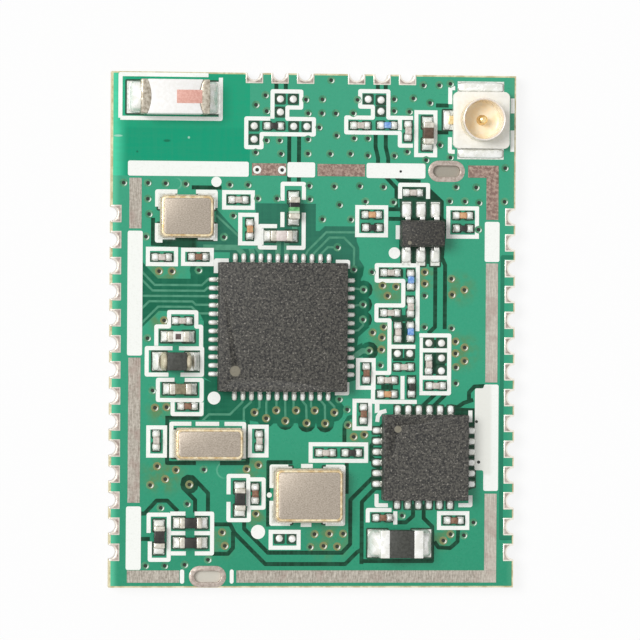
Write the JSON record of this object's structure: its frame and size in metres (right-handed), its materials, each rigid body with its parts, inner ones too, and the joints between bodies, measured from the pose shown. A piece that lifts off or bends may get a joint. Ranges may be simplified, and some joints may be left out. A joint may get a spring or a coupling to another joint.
{
  "type": "long-range radio module",
  "caption": "Castellated green circuit board with a radio transceiver, controller, crystals, chip antenna and a miniature coaxial receptacle.",
  "frame": {"origin": "centre of the board in plan, at the underside of the edge terminals", "axes": "+X across the board to its right edge, +Y to the edge with the antenna, +Z out of the face that carries the parts"},
  "size_m": [0.019, 0.024, 0.0021],
  "materials": {
    "laminate": "bare glass and resin laminate, satin",
    "pour_mask": "green mask over copper, gloss",
    "gap_mask": "green mask over laminate, gloss",
    "track_mask": "green mask over fine copper, gloss",
    "tinned_copper": "tinned copper, dull",
    "solder": "bright solder",
    "via_copper": "copper under thin mask",
    "white_print": "white printed ink, matt",
    "mould_compound": "black epoxy mould compound, matt",
    "switch_compound": "black epoxy mould compound, satin",
    "lead_metal": "tinned leads",
    "ceramic": "fired ceramic, matt",
    "gilt": "gold plate, bright",
    "lid_metal": "plated lid, satin",
    "white_ceramic": "white fired ceramic",
    "end_metal": "fired silver and tin ends",
    "mark_ink": "red fired ink",
    "insulator": "ivory moulded polymer",
    "grey_ceramic": "grey capacitor ceramic",
    "brown_ceramic": "brown capacitor ceramic",
    "tan_ceramic": "tan capacitor ceramic",
    "olive_ceramic": "olive capacitor ceramic",
    "resistor_glaze": "black resistor glaze",
    "blue_band": "blue inductor coating",
    "ferrite": "black ferrite",
    "indicator_white": "white moulded package",
    "window": "dark emitter window",
    "diode_green": "green moulded package"
  },
  "bodies": {
    "root": {"board_laminate": "laminate", "ground_pour": "pour_mask", "signal_tracks": "track_mask", "solder_mask": "gap_mask", "bottom_mask": "pour_mask", "edge_terminals": "tinned_copper", "shield_strips": "tinned_copper", "lug_slot_rims": "tinned_copper", "vias": "via_copper", "component_pads": "solder", "silkscreen_outlines": "white_print", "silkscreen_bars": "white_print", "solder_joints": "solder", "solder_domes": "solder", "controller_body": "mould_compound", "controller_terminals": "lead_metal", "transceiver_body": "mould_compound", "transceiver_terminals": "lead_metal", "switch_body": "switch_compound", "switch_leads": "lead_metal", "main_crystal_base": "ceramic", "main_crystal_seam": "gilt", "main_crystal_lid": "lid_metal", "clock_crystal_base": "ceramic", "clock_crystal_seam": "gilt", "clock_crystal_lid": "lid_metal", "oscillator_base": "ceramic", "oscillator_seam": "gilt", "oscillator_lid": "lid_metal", "antenna_body": "white_ceramic", "antenna_terminals": "end_metal", "antenna_mark": "mark_ink", "coax_insulator": "insulator", "coax_shell": "gilt", "coax_contact": "gilt", "power_inductor_body": "ferrite", "power_inductor_terminals": "solder", "grey_capacitor_bodies": "grey_ceramic", "brown_capacitor_bodies": "brown_ceramic", "tan_capacitor_bodies": "tan_ceramic", "small_capacitor_terminals": "solder", "filter_capacitor_bodies": "olive_ceramic", "filter_capacitor_terminals": "end_metal", "small_resistor_bodies": "resistor_glaze", "small_resistor_terminals": "solder", "large_resistor_bodies": "resistor_glaze", "large_resistor_terminals": "end_metal", "wire_inductor_bodies": "blue_band", "wire_inductor_terminals": "solder", "ferrite_body": "ferrite", "ferrite_terminals": "end_metal", "indicator_body": "indicator_white", "indicator_window": "window", "indicator_terminals": "end_metal", "diode_body": "diode_green", "diode_terminals": "end_metal"}
  },
  "joints": []
}
